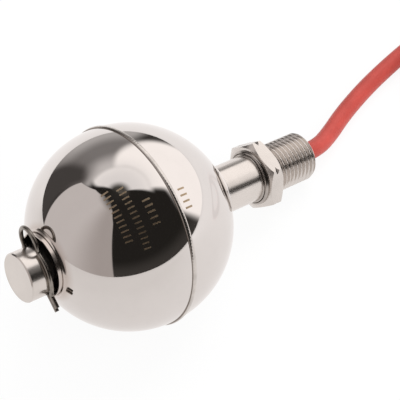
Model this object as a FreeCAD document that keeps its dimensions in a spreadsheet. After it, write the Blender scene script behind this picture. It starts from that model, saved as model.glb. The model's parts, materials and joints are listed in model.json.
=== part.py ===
import FreeCAD, Part
import math
import os

import Sketcher

# Stainless float level switch, lying on a table as it rests when it is out of its tank.
#
# A hollow ball float slides on a closed stem.  A reed contact sits inside the stem and a ring
# magnet inside the float.  A wire clip keeps the float on the stem, and a hexagon fitting with a
# pipe thread, welded to the other end, carries the stem and lets the cable out.
#
# Every piece is drawn about the stem: X runs along the stem from the float's centre towards the
# thread, and Z is the side that faces up.  The lying placement then tips all of them together,
# so that the ball and the thread's end rest on the floor, z = 0.

SIZES = [
    # ball float, with its centre at x = 0 when it hangs against the clip
    ("float_radius", 26.0),
    ("shell_wall", 0.5),
    ("lip_land", 0.25),
    ("lip_fillet", 1.0),
    ("seam_width", 1.1),
    ("seam_height", 0.4),
    ("sleeve_bore", 15.5),
    ("sleeve_wall", 0.3),
    ("sleeve_overhang", 0.4),
    ("sleeve_gap", 0.05),
    ("bore_seat", 0.2),
    # ring magnet and the two collars that hold it on the sleeve
    ("magnet_diameter", 25.0),
    ("magnet_length", 8.0),
    ("magnet_chamfer", 0.5),
    ("collar_diameter", 20.0),
    ("collar_length", 1.6),
    ("collar_gap", 0.1),
    # closed stem
    ("stem_diameter", 12.7),
    ("stem_wall", 1.0),
    ("clip_to_face", 5.3),
    ("plug_head", 10.0),
    ("spigot_length", 4.0),
    ("spigot_gap", 0.05),
    ("stem_chamfer", 0.3),
    # wire clip
    ("clip_wire", 1.1),
    ("clip_clearance", 0.35),
    ("clip_hole", 2.0),
    ("clip_loop", 4.0),
    ("clip_loop_reach", 6.2),
    ("clip_hug_gap", 0.12),
    ("clip_bend", 1.2),
    ("clip_tail", 11.0),
    ("clip_short_tail", 10.4),
    ("clip_tail_gap", 0.3),
    ("clip_turn_angle", -56.5),
    ("clip_lean_angle", 6.0),
    # hexagon fitting
    ("float_travel", 11.8),
    ("stop_gap", 0.3),
    ("weld_leg", 1.2),
    ("weld_crown", 1.92),
    ("hex_flats", 17.0),
    ("hex_thickness", 4.3),
    ("hex_face_share", 0.97),
    ("cutter_margin", 2.0),
    ("hex_turn_angle", 48.0),
    ("relief_diameter", 11.3),
    ("relief_width", 0.9),
    ("thread_diameter", 13.157),
    ("thread_length", 12.7),
    ("thread_chamfer", 0.6),
    ("fitting_bore", 8.5),
    ("socket_depth", 2.5),
    ("socket_gap", 0.05),
    # reed contact on its board, inside a liner in the stem
    ("liner_gap", 0.15),
    ("liner_wall", 0.5),
    ("liner_end_gap", 0.6),
    ("liner_length", 54.0),
    ("board_width", 8.2),
    ("board_thickness", 1.0),
    ("board_drop", 0.7),
    ("board_margin", 2.5),
    ("board_tail", 17.5),
    ("track_thickness", 0.1),
    ("track_width", 0.9),
    ("track_edge", 0.4),
    ("reed_diameter", 2.4),
    ("reed_length", 14.0),
    ("reed_wall", 0.3),
    ("reed_gap", 0.1),
    ("lead_diameter", 0.55),
    ("lead_span", 25.0),
    ("blade_width", 0.9),
    ("blade_thickness", 0.25),
    ("blade_overlap", 0.8),
    ("blade_gap", 0.12),
    ("lead_solder", 1.45),
    ("wire_solder", 0.95),
    ("solder_fit", 0.02),
    # cable
    ("cable_diameter", 5.0),
    ("jacket_bore", 3.6),
    ("core_diameter", 1.3),
    ("strand_diameter", 0.6),
    ("core_spacing", 2.2),
    ("strip_length", 3.0),
    ("stub_length", 10.0),
    ("potting_length", 11.5),
    ("potting_gap", 0.05),
    ("exit_recess", 1.0),
    ("floor_gap", 0.02),
    ("exit_run", 6.9),
    ("last_run", 4.0),
    # put-away coil
    ("coil_radius", 30.0),
    ("coil_round", 1.5),
    ("coil_lead_in", 20.0),
    ("coil_nest", 4.33),
    ("coil_top_angle", 276.0),
    ("coil_end_angle", 196.0),
    ("end_core_length", 32.0),
    ("end_tip_length", 7.0),
]

# Route of the free cable between its first run, straight out of the fitting, and its last, in
# line with the coil's lead-in.  x and y are counted on the floor from the point below the
# float's centre; the last value is the height of the cable's underside.
CABLE_ROUTE = [
    (65.8, 2.0, 0.3),
    (73.5, 5.0, 0.0),
    (83.5, 7.4, 0.0),
    (92.5, 8.75, 0.0),
]
COIL_ENTRY = (126.5, 8.0)
COIL_HEADING = -4.0
ARC_SHARE = 0.45    # share of the shorter run that an arc of the route takes up

X_AXIS = FreeCAD.Vector(1, 0, 0)
Y_AXIS = FreeCAD.Vector(0, 1, 0)
Z_AXIS = FreeCAD.Vector(0, 0, 1)

# Lengths that several pieces share, written once as formulas on the sheet.
STEM_R = "Sizes.stem_diameter / 2"
TUBE_BORE_R = "(Sizes.stem_diameter / 2 - Sizes.stem_wall)"
SLEEVE_IN = "Sizes.sleeve_bore / 2"
SLEEVE_OUT = "(Sizes.sleeve_bore / 2 + Sizes.sleeve_wall)"
SHELL_HOLE = "(Sizes.sleeve_bore / 2 + Sizes.sleeve_wall + Sizes.sleeve_gap)"
SLEEVE_END = "(Sizes.float_radius + Sizes.sleeve_overhang)"
CLIP_X = "(Sizes.float_radius + Sizes.sleeve_overhang + Sizes.clip_clearance + Sizes.clip_wire / 2)"
FACE_X = f"({CLIP_X} + Sizes.clip_to_face)"
PLUG_X = f"({FACE_X} - Sizes.plug_head)"
HEX_X = "(Sizes.float_radius + Sizes.sleeve_overhang + Sizes.float_travel + Sizes.stop_gap + Sizes.weld_leg)"
HEX_END = f"({HEX_X} + Sizes.hex_thickness)"
THREAD_END = f"({HEX_END} + Sizes.relief_width + Sizes.thread_length)"
EXIT_X = f"({THREAD_END} - Sizes.exit_recess)"
STUB_X = f"({EXIT_X} - Sizes.stub_length)"
LINER_X = f"({PLUG_X} - Sizes.spigot_length - Sizes.liner_end_gap)"
BOARD_START = "(Sizes.lead_span / 2 + Sizes.board_margin)"
BOARD_END = "(Sizes.lead_span / 2 + Sizes.board_tail)"
BOARD_TOP = "(-Sizes.board_drop)"
TRACK_TOP = "(Sizes.track_thickness - Sizes.board_drop)"
LEAD_Z = "(Sizes.reed_diameter / 2 + Sizes.reed_gap + Sizes.track_thickness - Sizes.board_drop)"


class Model:
    """The document, its sheet and the placement that lays the switch down."""

    def __init__(self):
        self.doc = FreeCAD.newDocument("FloatLevelSwitch")
        self.sheet = self.doc.addObject("Spreadsheet::Sheet", "Sizes")
        for row, (alias, value) in enumerate(SIZES, start=1):
            self.sheet.set(f"A{row}", alias)
            self.sheet.set(f"B{row}", str(value))
            self.sheet.setAlias(f"B{row}", alias)
        self.doc.recompute()
        self.pieces = []
        self.lying = self.lying_placement()

    def value(self, formula):
        """Number that a formula on the sheet gives."""
        return float(self.sheet.evalExpression(formula))

    def size(self, alias):
        return float(self.sheet.get(alias))

    def lift(self):
        """Height of the float's axis above the stem's: the stem lies on the sleeve's bottom."""
        return (self.size("sleeve_bore") - self.size("stem_diameter")) / 2 - self.size("bore_seat")

    def lying_placement(self):
        """Tips the stem until the ball and the thread's end both touch the floor."""
        ball = self.size("float_radius")
        low_x = self.value(THREAD_END) - self.size("thread_chamfer")
        low_r = self.size("thread_diameter") / 2 + self.lift()
        tilt = math.asin(ball / math.hypot(low_x, low_r)) - math.atan2(low_r, low_x)
        turn = FreeCAD.Rotation(Y_AXIS, math.degrees(tilt))
        centre = FreeCAD.Vector(0, 0, self.lift())
        self.tilt = tilt
        self.ball_x = self.float_offset(tilt)
        spot = FreeCAD.Vector(self.ball_x, 0, ball) - turn.multVec(centre)
        return FreeCAD.Placement(spot, turn)

    def float_offset(self, tilt):
        """x of the float's centre, with the origin below the middle of the switch's length."""
        radius = self.size("stem_diameter") / 2
        edge = self.size("stem_chamfer")
        face = self.value(FACE_X)
        lift = self.lift()
        back = max(
            (face - edge) * math.cos(tilt) + (radius + lift) * math.sin(tilt),
            face * math.cos(tilt) + (radius - edge + lift) * math.sin(tilt),
            self.size("float_radius"),
        )
        end = self.value(THREAD_END)
        edge = self.size("thread_chamfer")
        radius = self.size("thread_diameter") / 2
        front = max(
            (end - edge) * math.cos(tilt) + (radius - lift) * math.sin(tilt),
            end * math.cos(tilt) + (radius - edge - lift) * math.sin(tilt),
        )
        return (back - front) / 2

    def keep(self, piece, label, placement=None, on_floor=False):
        """Names a finished piece and lays it down with the rest."""
        piece.Label = label
        local = placement or FreeCAD.Placement()
        piece.Placement = local if on_floor else self.lying.multiply(local)
        self.pieces.append(piece)
        return piece

    # ---- sketches ------------------------------------------------------------------------

    def plane(self, body, role):
        for feature in body.Origin.OriginFeatures:
            if feature.Role == role:
                return feature
        raise ValueError(role)

    def sketch(self, body, role, name, offset=None):
        """Sketch on one of the body's own planes, moved along its normal by a formula."""
        drawing = body.newObject("Sketcher::SketchObject", name)
        drawing.AttachmentSupport = [(self.plane(body, role), "")]
        drawing.MapMode = "FlatFace"
        if offset:
            drawing.setExpression("AttachmentOffset.Base.z", offset)
        return drawing

    def pin(self, drawing, geo, end, axis, formula):
        """Ties one coordinate of a sketch point to a formula."""
        if formula == "0":
            drawing.addConstraint(Sketcher.Constraint("PointOnObject", geo, end, -1 if axis == "Y" else -2))
            return
        value = self.value(formula)
        index = drawing.addConstraint(Sketcher.Constraint(f"Distance{axis}", -1, 1, geo, end, value))
        drawing.setExpression(f"Constraints[{index}]", formula)

    def outline(self, drawing, corners):
        """Closed outline.  A corner is (x, y) or (x, y, bend), where bend is the radius of the
        arc that runs from it to the next corner: positive turns left, negative turns right."""
        points = [FreeCAD.Vector(self.value(c[0]), self.value(c[1]), 0) for c in corners]
        ends = []
        for i, corner in enumerate(corners):
            a, b = points[i], points[(i + 1) % len(points)]
            if len(corner) == 2:
                geo = drawing.addGeometry(Part.LineSegment(a, b), False)
                ends.append((geo, 1, 2))
                continue
            radius = self.value(corner[2])
            curve = arc_between(a, b, radius)
            geo = drawing.addGeometry(curve, False)
            ends.append((geo, 1, 2) if radius > 0 else (geo, 2, 1))
            index = drawing.addConstraint(Sketcher.Constraint("Radius", geo, abs(radius)))
            drawing.setExpression(f"Constraints[{index}]", f"abs({corner[2]})")
        for i, corner in enumerate(corners):
            geo, start, _ = ends[i]
            before, _, stop = ends[i - 1]
            drawing.addConstraint(Sketcher.Constraint("Coincident", before, stop, geo, start))
            self.pin(drawing, geo, start, "X", corner[0])
            self.pin(drawing, geo, start, "Y", corner[1])

    def turned(self, label, corners):
        """Body turned about the stem's axis from an outline of (x, radius) corners."""
        body = self.doc.addObject("PartDesign::Body", label)
        drawing = self.sketch(body, "XY_Plane", f"{label}_outline")
        self.outline(drawing, corners)
        turning = body.newObject("PartDesign::Revolution", f"{label}_turning")
        turning.Profile = drawing
        turning.ReferenceAxis = (drawing, ["H_Axis"])
        turning.Angle = 360
        self.doc.recompute()
        return body

    def ring(self, label, start, end, inner, outer):
        """Plain turned tube between two x values."""
        return self.turned(label, [(start, inner), (end, inner), (end, outer), (start, outer)])

    def circle(self, drawing, radius, x="0", y="0"):
        centre = FreeCAD.Vector(self.value(x), self.value(y), 0)
        geo = drawing.addGeometry(Part.Circle(centre, Z_AXIS, self.value(radius)), False)
        index = drawing.addConstraint(Sketcher.Constraint("Radius", geo, self.value(radius)))
        drawing.setExpression(f"Constraints[{index}]", radius)
        self.pin(drawing, geo, 3, "X", x)
        self.pin(drawing, geo, 3, "Y", y)

    def pad(self, body, drawing, length, name, backwards=False):
        feature = body.newObject("PartDesign::Pad", name)
        feature.Profile = drawing
        feature.Length = self.value(length)
        feature.setExpression("Length", length)
        feature.Reversed = backwards
        self.doc.recompute()
        return feature

    def pocket(self, body, drawing, name, length=None):
        """Cut from the sketch against its normal, or through everything both ways."""
        before = body.Shape.Volume
        feature = body.newObject("PartDesign::Pocket", name)
        feature.Profile = drawing
        if length:
            feature.Length = self.value(length)
            feature.setExpression("Length", length)
        else:
            feature.Type = "ThroughAll"
            feature.Midplane = True
        self.doc.recompute()
        if body.Shape.Volume >= before:
            raise RuntimeError(f"{name} cuts nothing")
        return feature

    def box(self, name, corner, sides):
        """Box with its sides tied to the sheet and its corner at three formulas."""
        block = self.doc.addObject("Part::Box", name)
        for side, formula in zip(("Length", "Width", "Height"), sides):
            block.setExpression(side, formula)
        spot = FreeCAD.Vector(*[self.value(formula) for formula in corner])
        block.Placement = FreeCAD.Placement(spot, FreeCAD.Rotation())
        return block

    def rod(self, name, start, length, diameter, y="0", z="0"):
        """Round bar along the stem."""
        bar = self.doc.addObject("Part::Cylinder", name)
        bar.setExpression("Radius", f"({diameter}) / 2")
        bar.setExpression("Height", length)
        spot = FreeCAD.Vector(self.value(start), self.value(y), self.value(z))
        bar.Placement = FreeCAD.Placement(spot, FreeCAD.Rotation(Y_AXIS, 90))
        return bar


def arc_between(a, b, radius):
    """Arc from a to b that turns left for a positive radius and right for a negative one."""
    chord = b - a
    half = chord.Length / 2
    side = FreeCAD.Vector(-chord.y, chord.x, 0).normalize()
    rise = math.sqrt(max(radius * radius - half * half, 0))
    centre = (a + b) * 0.5 + side * math.copysign(rise, radius)
    circle = Part.Circle(centre, Z_AXIS, abs(radius))
    first, last = (a, b) if radius > 0 else (b, a)
    start = math.atan2(first.y - centre.y, first.x - centre.x)
    stop = math.atan2(last.y - centre.y, last.x - centre.x)
    if stop < start:
        stop += 2 * math.pi
    return Part.ArcOfCircle(circle, start, stop)


# ---- float -----------------------------------------------------------------------------------


def float_pieces(model):
    up = FreeCAD.Placement(FreeCAD.Vector(0, 0, model.lift()), FreeCAD.Rotation())
    flip = FreeCAD.Placement(up.Base, FreeCAD.Rotation(Z_AXIS, 180))
    for label, placement in (("float_upper_shell", up), ("float_lower_shell", flip)):
        model.keep(float_shell(model, label), label, placement)
    model.keep(seam_bead(model), "float_seam_bead", up)
    model.keep(model.ring("float_sleeve", f"-{SLEEVE_END}", SLEEVE_END, SLEEVE_IN, SLEEVE_OUT),
               "float_sleeve", up)
    model.keep(ring_magnet(model), "ring_magnet", up)
    for label, side in (("magnet_collar_lower", -1), ("magnet_collar_upper", 1)):
        start = f"{side} * (Sizes.magnet_length / 2 + Sizes.collar_gap)"
        end = f"{side} * (Sizes.magnet_length / 2 + Sizes.collar_gap + Sizes.collar_length)"
        near, far = (start, end) if side > 0 else (end, start)
        collar = model.ring(label, near, far, SHELL_HOLE, "Sizes.collar_diameter / 2")
        model.keep(collar, label, up)


def float_shell(model, label):
    """Pressed half of the ball, with a small lip drawn out round the sleeve."""
    lip_r = f"({SHELL_HOLE} + Sizes.lip_land)"
    lip_x = f"sqrt((Sizes.float_radius + Sizes.lip_fillet)^2 - ({lip_r} + Sizes.lip_fillet)^2)"
    share = "Sizes.float_radius / (Sizes.float_radius + Sizes.lip_fillet)"
    inner = "(Sizes.float_radius - Sizes.shell_wall)"
    return model.turned(label, [
        ("0", inner),
        ("0", "Sizes.float_radius", "-Sizes.float_radius"),
        (f"{lip_x} * {share}", f"({lip_r} + Sizes.lip_fillet) * {share}", "Sizes.lip_fillet"),
        (lip_x, lip_r),
        (lip_x, SHELL_HOLE),
        (f"sqrt({inner}^2 - {SHELL_HOLE}^2)", SHELL_HOLE, inner),
    ])


def seam_bead(model):
    """Weld bead round the joint of the two shells, crowned outwards."""
    half = "Sizes.seam_width / 2"
    foot = "(Sizes.float_radius + Sizes.sleeve_gap / 2)"
    crown = f"((({half})^2 + Sizes.seam_height^2) / (2 * Sizes.seam_height))"
    return model.turned("float_seam_bead", [
        (f"-{half}", foot),
        (half, foot, crown),
    ])


def ring_magnet(model):
    half = "Sizes.magnet_length / 2"
    outer = "Sizes.magnet_diameter / 2"
    cut = "Sizes.magnet_chamfer"
    return model.turned("ring_magnet", [
        (f"-{half}", SHELL_HOLE),
        (half, SHELL_HOLE),
        (half, f"{outer} - {cut}"),
        (f"{half} - {cut}", outer),
        (f"-{half} + {cut}", outer),
        (f"-{half}", f"{outer} - {cut}"),
    ])


# ---- stem ------------------------------------------------------------------------------------


def stem_pieces(model):
    tube_end = f"{HEX_X} + Sizes.socket_depth"
    model.keep(model.ring("stem_tube", f"-{PLUG_X}", tube_end, TUBE_BORE_R, STEM_R), "stem_tube")
    turn = FreeCAD.Rotation(X_AXIS, model.size("clip_turn_angle"))
    model.keep(end_plug(model), "stem_end_plug", FreeCAD.Placement(FreeCAD.Vector(), turn))
    hook = FreeCAD.Vector(-model.value(CLIP_X), 0, 0)
    lean = FreeCAD.Rotation(Z_AXIS, -model.size("clip_lean_angle"))
    model.keep(retaining_clip(model), "retaining_clip", FreeCAD.Placement(hook, turn.multiply(lean)))


def end_plug(model):
    """Solid turned plug that closes the stem, with the clip's cross hole through its head."""
    spigot = f"({TUBE_BORE_R} - Sizes.spigot_gap)"
    cut = "Sizes.stem_chamfer"
    body = model.turned("stem_end_plug", [
        (f"-{FACE_X}", "0"),
        (f"-{PLUG_X} + Sizes.spigot_length", "0"),
        (f"-{PLUG_X} + Sizes.spigot_length", f"{spigot} - {cut}"),
        (f"-{PLUG_X} + Sizes.spigot_length - {cut}", spigot),
        (f"-{PLUG_X}", spigot),
        (f"-{PLUG_X}", STEM_R),
        (f"-{FACE_X} + {cut}", STEM_R),
        (f"-{FACE_X}", f"{STEM_R} - {cut}"),
    ])
    hole = model.sketch(body, "XY_Plane", "clip_hole_outline")
    model.circle(hole, "Sizes.clip_hole / 2", x=f"-{CLIP_X}")
    model.pocket(body, hole, "clip_hole_cut")
    return body


def retaining_clip(model):
    """Hairpin of spring wire: a straight leg through the stem, a round loop, a leg that hugs
    the stem and two tails.  Its plane is across the stem, with the straight leg along Z."""
    body = model.doc.addObject("PartDesign::Body", "retaining_clip")
    spine = model.sketch(body, "YZ_Plane", "clip_spine")
    wire_path(model, spine)
    profile = model.sketch(body, "XY_Plane", "clip_profile", offset="-Sizes.clip_tail")
    model.circle(profile, "Sizes.clip_wire / 2")
    model.doc.recompute()
    pipe = body.newObject("PartDesign::AdditivePipe", "clip_wire_sweep")
    pipe.Profile = profile
    pipe.Spine = (spine, [f"Edge{i + 1}" for i in range(spine.GeometryCount)])
    model.doc.recompute()
    return body


def wire_path(model, drawing):
    """Lines and arcs of the clip, each tangent to the next; +Z is the loop's side."""
    loop_r = model.size("clip_loop")
    bend = model.size("clip_bend")
    hug_r = model.value(f"{STEM_R} + Sizes.clip_wire / 2 + Sizes.clip_hug_gap")
    tail_y = -model.value("Sizes.clip_wire + Sizes.clip_tail_gap")
    loop = FreeCAD.Vector(-loop_r, model.size("clip_loop_reach"), 0)
    kink = circle_meeting(loop, loop_r + bend, hug_r + bend)
    knee = FreeCAD.Vector(tail_y - bend, 0, 0)
    knee.y = -math.sqrt((hug_r + bend) ** 2 - knee.x ** 2)
    origin = FreeCAD.Vector()
    leg_end = FreeCAD.Vector(0, loop.y, 0)
    into_kink = loop + (kink - loop) * (loop_r / (loop_r + bend))
    into_hug = kink * (hug_r / (hug_r + bend))
    from_hug = knee * (hug_r / (hug_r + bend))
    tail_start = FreeCAD.Vector(tail_y, knee.y, 0)
    tail_end = FreeCAD.Vector(tail_y, -model.size("clip_short_tail"), 0)
    start = FreeCAD.Vector(0, -model.size("clip_tail"), 0)
    pieces = [
        (Part.LineSegment(start, leg_end), 1, 2),
        (turning_arc(loop, leg_end, into_kink), 1, 2),
        (turning_arc(kink, into_hug, into_kink), 2, 1),
        (turning_arc(origin, into_hug, from_hug), 1, 2),
        (turning_arc(knee, tail_start, from_hug), 2, 1),
        (Part.LineSegment(tail_start, tail_end), 1, 2),
    ]
    for curve, _, _ in pieces:
        drawing.addGeometry(curve, False)
    for i in range(len(pieces) - 1):
        drawing.addConstraint(Sketcher.Constraint("Tangent", i, pieces[i][2], i + 1, pieces[i + 1][1]))
    drawing.addConstraint(Sketcher.Constraint("PointOnObject", 0, 2, -2))
    model.pin(drawing, 0, 1, "X", "0")
    model.pin(drawing, 0, 1, "Y", "-Sizes.clip_tail")
    model.pin(drawing, 1, 3, "Y", "Sizes.clip_loop_reach")
    drawing.addConstraint(Sketcher.Constraint("Coincident", 3, 3, -1, 1))
    model.pin(drawing, 5, 2, "X", "-(Sizes.clip_wire + Sizes.clip_tail_gap)")
    model.pin(drawing, 5, 2, "Y", "-Sizes.clip_short_tail")
    drawing.addConstraint(Sketcher.Constraint("Vertical", 5))
    radii = ((1, "Sizes.clip_loop"), (2, "Sizes.clip_bend"), (4, "Sizes.clip_bend"),
             (3, f"{STEM_R} + Sizes.clip_wire / 2 + Sizes.clip_hug_gap"))
    for geo, formula in radii:
        index = drawing.addConstraint(Sketcher.Constraint("Radius", geo, model.value(formula)))
        drawing.setExpression(f"Constraints[{index}]", formula)


def turning_arc(centre, start, stop):
    """Arc about a centre, anticlockwise from start to stop."""
    radius = (start - centre).Length
    first = math.atan2(start.y - centre.y, start.x - centre.x)
    last = math.atan2(stop.y - centre.y, stop.x - centre.x)
    if last < first:
        last += 2 * math.pi
    return Part.ArcOfCircle(Part.Circle(centre, Z_AXIS, radius), first, last)


def circle_meeting(centre, reach, origin_reach):
    """Point at one distance from a centre and another from the origin, on the left of it."""
    away = centre.Length
    along = (origin_reach ** 2 - reach ** 2 + away ** 2) / (2 * away)
    across = math.sqrt(origin_reach ** 2 - along ** 2)
    unit = centre * (1 / away)
    left = FreeCAD.Vector(-unit.y, unit.x, 0)
    return unit * along + left * across


# ---- fitting ---------------------------------------------------------------------------------


def fitting_pieces(model):
    turn = FreeCAD.Rotation(X_AXIS, model.size("hex_turn_angle"))
    model.keep(threaded_fitting(model), "threaded_fitting", FreeCAD.Placement(FreeCAD.Vector(), turn))
    weld_r = f"({STEM_R} + Sizes.socket_gap)"
    weld = model.turned("fitting_weld", [
        (f"{HEX_X} - Sizes.weld_leg", weld_r),
        (HEX_X, weld_r),
        (HEX_X, f"{weld_r} + Sizes.weld_leg", "Sizes.weld_crown"),
    ])
    model.keep(weld, "fitting_weld")
    potting_r = "(Sizes.fitting_bore / 2 - Sizes.potting_gap)"
    inner_r = "(Sizes.cable_diameter / 2 + Sizes.potting_gap)"
    plug = model.ring("potting_plug", f"{EXIT_X} - Sizes.potting_length", EXIT_X, inner_r, potting_r)
    model.keep(plug, "potting_plug")


def threaded_fitting(model):
    """Turned blank with its bore, then the hexagon cut from the collar between its faces.
    The thread is left at its major diameter."""
    corner = "Sizes.hex_flats / sqrt(3)"
    face = "(Sizes.hex_flats / 2 * Sizes.hex_face_share)"
    bevel = f"(({corner} - {face}) * tan(30deg))"
    thread = "Sizes.thread_diameter / 2"
    relief = "Sizes.relief_diameter / 2"
    bore = "Sizes.fitting_bore / 2"
    socket = f"({STEM_R} + Sizes.socket_gap)"
    seat = f"{HEX_X} + Sizes.socket_depth"
    body = model.turned("threaded_fitting", [
        (HEX_X, socket),
        (seat, socket),
        (seat, bore),
        (THREAD_END, bore),
        (THREAD_END, f"{thread} - Sizes.thread_chamfer"),
        (f"{THREAD_END} - Sizes.thread_chamfer", thread),
        (f"{HEX_END} + Sizes.relief_width", thread),
        (f"{HEX_END} + Sizes.relief_width", relief),
        (HEX_END, relief),
        (HEX_END, face),
        (f"{HEX_END} - {bevel}", corner),
        (f"{HEX_X} + {bevel}", corner),
        (HEX_X, face),
    ])
    flats = model.sketch(body, "YZ_Plane", "hexagon_outline", offset=HEX_END)
    spots = [(f"{corner} * sin({60 * k}deg)", f"{corner} * cos({60 * k}deg)") for k in range(6)]
    spots = [("0" if k % 3 == 0 else x, y) for k, (x, y) in enumerate(spots)]
    model.outline(flats, spots)
    model.circle(flats, f"{corner} + Sizes.cutter_margin")
    model.pocket(body, flats, "hexagon_cut", length="Sizes.hex_thickness")
    return body


# ---- reed contact ----------------------------------------------------------------------------


def reed_pieces(model):
    liner_out = f"({TUBE_BORE_R} - Sizes.liner_gap)"
    liner = model.ring("liner_sleeve", f"-{LINER_X}", f"Sizes.liner_length - {LINER_X}",
                       f"{liner_out} - Sizes.liner_wall", liner_out)
    model.keep(liner, "liner_sleeve")
    board = model.box("reed_board",
                      (f"-{BOARD_START}", "-Sizes.board_width / 2", f"{BOARD_TOP} - Sizes.board_thickness"),
                      (f"{BOARD_START} + {BOARD_END}", "Sizes.board_width", "Sizes.board_thickness"))
    model.keep(board, "reed_board", board.Placement)
    model.keep(reed_glass(model), "reed_glass", lead_level(model))
    for label, side in (("reed_blade_lower", -1), ("reed_blade_upper", 1)):
        turn = FreeCAD.Rotation(Z_AXIS, 0 if side < 0 else 180)
        level = FreeCAD.Placement(lead_level(model).Base, turn)
        model.keep(reed_blade(model, label, side), label, level)
    tracks(model)
    solder_joints(model)


def lead_level(model):
    return FreeCAD.Placement(FreeCAD.Vector(0, 0, model.value(LEAD_Z)), FreeCAD.Rotation())


def reed_glass(model):
    """Hollow glass capsule, drawn in to the lead at each end."""
    half = "Sizes.reed_length / 2"
    outer = "Sizes.reed_diameter / 2"
    inner = f"({outer} - Sizes.reed_wall)"
    lead = "(Sizes.lead_diameter / 2 + Sizes.solder_fit)"
    return model.turned("reed_glass", [
        (f"-{half}", lead),
        (f"-{half} + {outer}", lead),
        (f"-{half} + {outer} + {inner} - {lead}", inner),
        (f"{half} - {outer} - {inner} + {lead}", inner),
        (f"{half} - {outer}", lead),
        (half, lead),
        (half, f"{outer} / 2"),
        (f"{half} - {outer} / 2", outer),
        (f"-{half} + {outer} / 2", outer),
        (f"-{half}", f"{outer} / 2"),
    ])


def reed_blade(model, label, side):
    """Round lead that is flattened to a contact blade inside the glass."""
    root = "(Sizes.reed_length / 2 - Sizes.reed_diameter / 2 - Sizes.blade_width / 2)"
    body = model.doc.addObject("PartDesign::Body", label)
    lead = model.sketch(body, "YZ_Plane", f"{label}_lead", offset="-Sizes.lead_span / 2")
    model.circle(lead, "Sizes.lead_diameter / 2")
    model.pad(body, lead, f"Sizes.lead_span / 2 - {root}", f"{label}_round")
    flat = model.sketch(body, "YZ_Plane", f"{label}_flat", offset=f"-{root}")
    shift = f"{-side} * (Sizes.blade_thickness + Sizes.blade_gap) / 2"
    low, high = f"{shift} - Sizes.blade_thickness / 2", f"{shift} + Sizes.blade_thickness / 2"
    half = "Sizes.blade_width / 2"
    model.outline(flat, [(f"-{half}", low), (half, low), (half, high), (f"-{half}", high)])
    model.pad(body, flat, f"{root} + Sizes.blade_overlap / 2", f"{label}_blade")
    return body


def tracks(model):
    """Two copper tracks that carry the reed's leads along the board to the wires."""
    pad = "2 * Sizes.lead_solder"
    lead_x = "(Sizes.lead_span / 2 - Sizes.lead_solder / 2)"
    edge = "(Sizes.board_width / 2 - Sizes.track_edge)"
    wire_pad = "2 * Sizes.wire_solder"
    wire_x = f"({BOARD_END} - 2 * Sizes.wire_solder)"
    half = "Sizes.core_spacing / 2"
    thick = "Sizes.track_thickness"
    far = [
        model.box("lower_lead_pad", (f"-{lead_x} - Sizes.lead_solder", f"-{edge}", BOARD_TOP),
                  (pad, f"{edge} + Sizes.lead_solder", thick)),
        model.box("lower_run", (f"-{lead_x}", f"-{edge}", BOARD_TOP),
                  (f"{lead_x} + {wire_x}", "Sizes.track_width", thick)),
        model.box("lower_wire_pad", (f"{wire_x} - Sizes.wire_solder", f"-{edge}", BOARD_TOP),
                  (wire_pad, f"{edge} - {half} + Sizes.wire_solder", thick)),
    ]
    near = [
        model.box("upper_lead_pad", (f"{lead_x} - Sizes.lead_solder", "-Sizes.lead_solder", BOARD_TOP),
                  (pad, f"Sizes.lead_solder + {half} + Sizes.wire_solder", thick)),
        model.box("upper_run", (lead_x, f"{half} - Sizes.track_width / 2", BOARD_TOP),
                  (f"{wire_x} - {lead_x}", "Sizes.track_width", thick)),
        model.box("upper_wire_pad", (f"{wire_x} - Sizes.wire_solder", f"{half} - Sizes.wire_solder", BOARD_TOP),
                  (wire_pad, wire_pad, thick)),
    ]
    for label, blocks in (("board_track_lower", far), ("board_track_upper", near)):
        model.doc.recompute()
        joined = model.doc.addObject("Part::MultiFuse", label)
        joined.Shapes = blocks
        joined.Refine = True
        model.keep(joined, label)


def solder_joints(model):
    """Solder domes on the pads, each round the lead or strand that it holds."""
    lead_x = "(Sizes.lead_span / 2 - Sizes.lead_solder / 2)"
    wire_x = f"({BOARD_END} - 2 * Sizes.wire_solder)"
    half = "Sizes.core_spacing / 2"
    spots = [
        ("reed_solder_lower", f"-{lead_x}", "0", LEAD_Z, "Sizes.lead_solder", "Sizes.lead_diameter"),
        ("reed_solder_upper", lead_x, "0", LEAD_Z, "Sizes.lead_solder", "Sizes.lead_diameter"),
        ("wire_solder_lower", wire_x, f"-{half}", "0", "Sizes.wire_solder", "Sizes.strand_diameter"),
        ("wire_solder_upper", wire_x, half, "0", "Sizes.wire_solder", "Sizes.strand_diameter"),
    ]
    for label, x, y, z, radius, wire in spots:
        dome = model.doc.addObject("Part::Sphere", f"{label}_dome")
        dome.setExpression("Radius", radius)
        dome.Angle1 = 0
        spot = FreeCAD.Vector(model.value(x), model.value(y), model.value(TRACK_TOP))
        dome.Placement = FreeCAD.Placement(spot, FreeCAD.Rotation())
        way = model.rod(f"{label}_way", f"{x} - {radius}", f"2 * {radius}",
                        f"{wire} + 2 * Sizes.solder_fit", y=y, z=z)
        model.doc.recompute()
        joint = model.doc.addObject("Part::Cut", label)
        joint.Base = dome
        joint.Tool = way
        model.keep(joint, label)


# ---- cable -----------------------------------------------------------------------------------


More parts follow.
